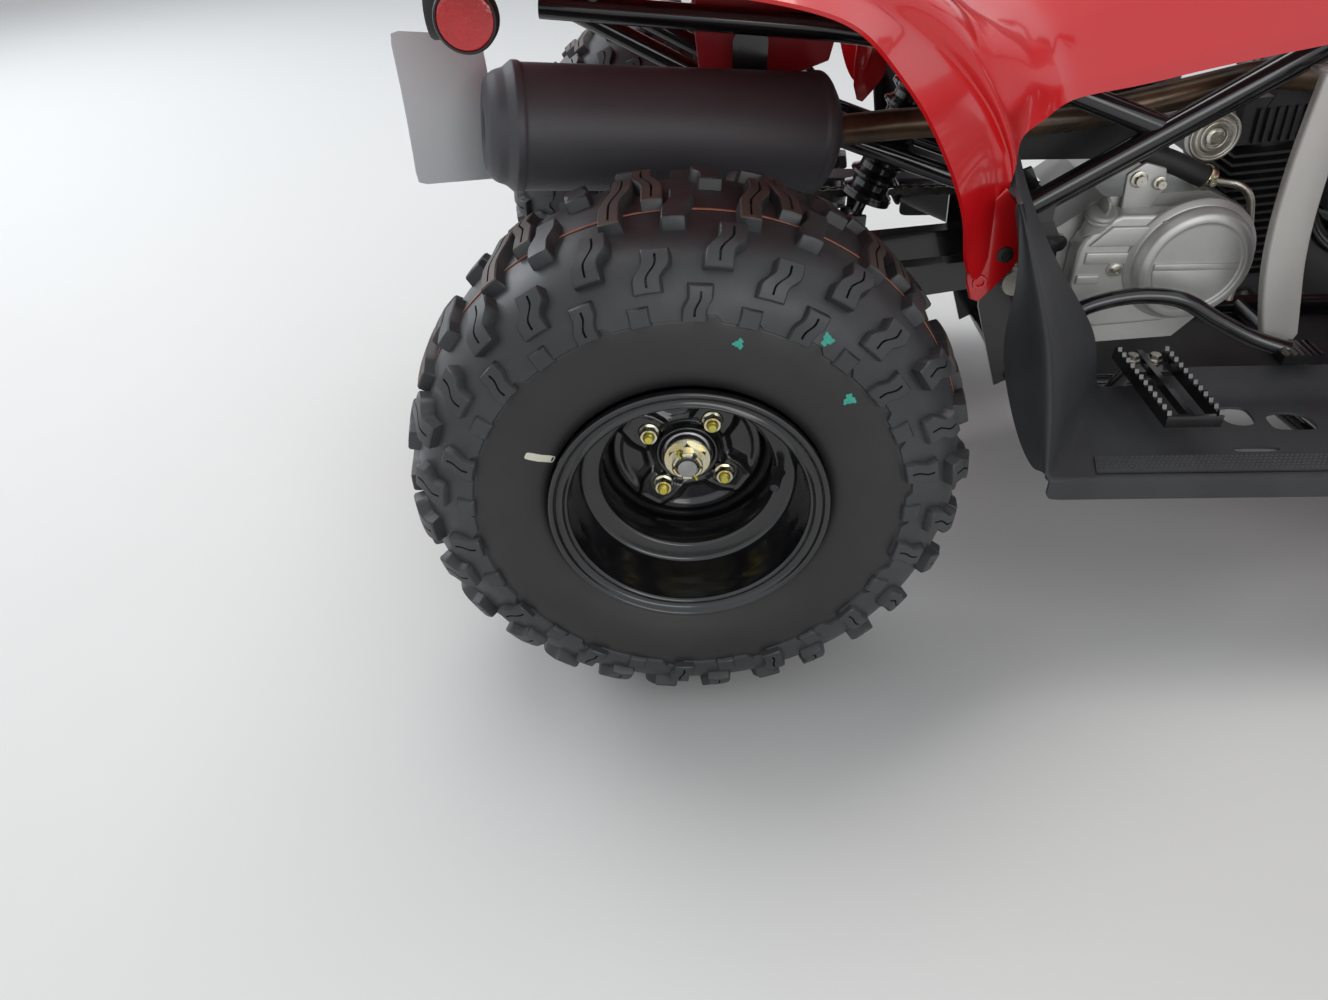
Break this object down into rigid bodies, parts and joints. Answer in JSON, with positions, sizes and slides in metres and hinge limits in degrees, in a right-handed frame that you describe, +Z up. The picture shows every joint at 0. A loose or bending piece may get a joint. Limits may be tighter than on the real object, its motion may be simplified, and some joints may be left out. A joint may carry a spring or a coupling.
{
  "type": "youth sport quad bike",
  "caption": "Small sport quad bike: knobbly tyres, live rear axle with chain drive, steered front wheels on double arms, red fenders, footwells and a high side muffler.",
  "frame": {"origin": "on the floor under the middle of the overall length", "axes": "+X forward, +Y to the left, +Z up"},
  "size_m": [1.5266, 0.883, 0.9156],
  "materials": {
    "red_plastic": "gloss moulded plastic",
    "black_plastic": "textured black moulded plastic",
    "grey_plastic": "light grey moulded plastic",
    "tyre": "new black tyre rubber",
    "rim_paint": "gloss black painted steel",
    "frame_paint": "gloss black painted steel",
    "cast_aluminium": "painted cast aluminium",
    "black_fins": "satin black casting",
    "zinc": "zinc plated steel",
    "steel": "bare steel",
    "muffler_paint": "heat resistant matte black",
    "seat_vinyl": "black grained vinyl",
    "lens_red": "red prismatic lens",
    "rubber": "black rubber"
  },
  "bodies": {
    "root": {"frame": "frame_paint", "rear_subframe": "frame_paint", "swingarm": "frame_paint", "swingarm_bolt": "zinc", "rear_shock": "frame_paint", "rear_brake_panel": "cast_aluminium", "engine_crankcase": "cast_aluminium", "clutch_cover": "cast_aluminium", "cylinder": "black_fins", "cylinder_head": "cast_aluminium", "carburettor": "cast_aluminium", "air_box": "black_plastic", "breather_hose": "rubber", "breather_pipe": "steel", "exhaust_pipe": "muffler_paint", "muffler": "muffler_paint", "chain": "steel", "engine_sprocket": "steel", "chain_guard": "black_plastic", "seat": "seat_vinyl", "rear_fender": "red_plastic", "tank_cover": "red_plastic", "front_fender": "red_plastic", "front_grille": "black_plastic", "front_bumper": "frame_paint", "footwell_right": "black_plastic", "footwell_left": "black_plastic", "footpegs": "frame_paint", "guard_arms": "grey_plastic", "foot_pedals": "frame_paint", "front_lower_arms": "frame_paint", "front_upper_arms": "frame_paint", "front_shocks": "frame_paint", "skid_plate": "black_plastic", "reflector_housings": "rubber", "reflector_lenses": "lens_red"},
    "rear_axle": {"rear_axle": "steel", "rear_rims": "rim_paint", "rear_tyres": "tyre", "rear_sprocket": "steel", "rear_brake_drum": "cast_aluminium"},
    "steering": {"steering_stem": "frame_paint", "handlebar": "frame_paint", "grips": "rubber", "bar_controls": "black_plastic", "bar_pad": "black_plastic"},
    "tie_rod_left": {"tie_rod_left": "zinc"},
    "tie_rod_right": {"tie_rod_right": "zinc"},
    "knuckle_left": {"knuckle_left": "frame_paint"},
    "knuckle_right": {"knuckle_right": "frame_paint"},
    "front_wheel_left": {"front_tyre_left": "tyre", "front_rim_left": "rim_paint", "front_hub_left": "cast_aluminium"},
    "front_wheel_right": {"front_tyre_right": "tyre", "front_rim_right": "rim_paint", "front_hub_right": "cast_aluminium"}
  },
  "joints": [
    {"name": "rear_axle_spin", "type": "hinge", "parent": "root", "child": "rear_axle", "pos_m": [-0.522, 0, 0.2415], "axis": [0, 1, 0], "continuous": true},
    {"name": "steer", "type": "hinge", "parent": "root", "child": "steering", "pos_m": [0.44, 0, 0.262], "axis": [-0.3016, 0, 0.9534], "range_deg": [-40, 40]},
    {"name": "kingpin_right", "type": "hinge", "parent": "root", "child": "knuckle_right", "pos_m": [0.473, -0.26, 0.196], "axis": [-0.0733, 0.0815, 0.994], "range_deg": [-29.2, 29.2]},
    {"name": "tie_rod_right_swing", "type": "hinge", "parent": "steering", "child": "tie_rod_right", "pos_m": [0.39468, -0.024, 0.25606], "axis": [-0.3016, 0, 0.9534], "range_deg": [-41, 41]},
    {"name": "front_wheel_right_spin", "type": "hinge", "parent": "knuckle_right", "child": "front_wheel_right", "pos_m": [0.473, -0.35, 0.254], "axis": [0, 1, 0], "continuous": true},
    {"name": "kingpin_left", "type": "hinge", "parent": "root", "child": "knuckle_left", "pos_m": [0.473, 0.26, 0.196], "axis": [-0.0733, -0.0815, 0.994], "range_deg": [-29.2, 29.2]},
    {"name": "tie_rod_left_swing", "type": "hinge", "parent": "steering", "child": "tie_rod_left", "pos_m": [0.39468, 0.024, 0.25606], "axis": [-0.3016, 0, 0.9534], "range_deg": [-41, 41]},
    {"name": "front_wheel_left_spin", "type": "hinge", "parent": "knuckle_left", "child": "front_wheel_left", "pos_m": [0.473, 0.35, 0.254], "axis": [0, 1, 0], "continuous": true}
  ],
  "couplings": [
    {"joint": "kingpin_right", "follows": "steer", "ratio": 0.72},
    {"joint": "tie_rod_right_swing", "follows": "steer", "ratio": -1},
    {"joint": "kingpin_left", "follows": "steer", "ratio": 0.72},
    {"joint": "tie_rod_left_swing", "follows": "steer", "ratio": -1}
  ]
}
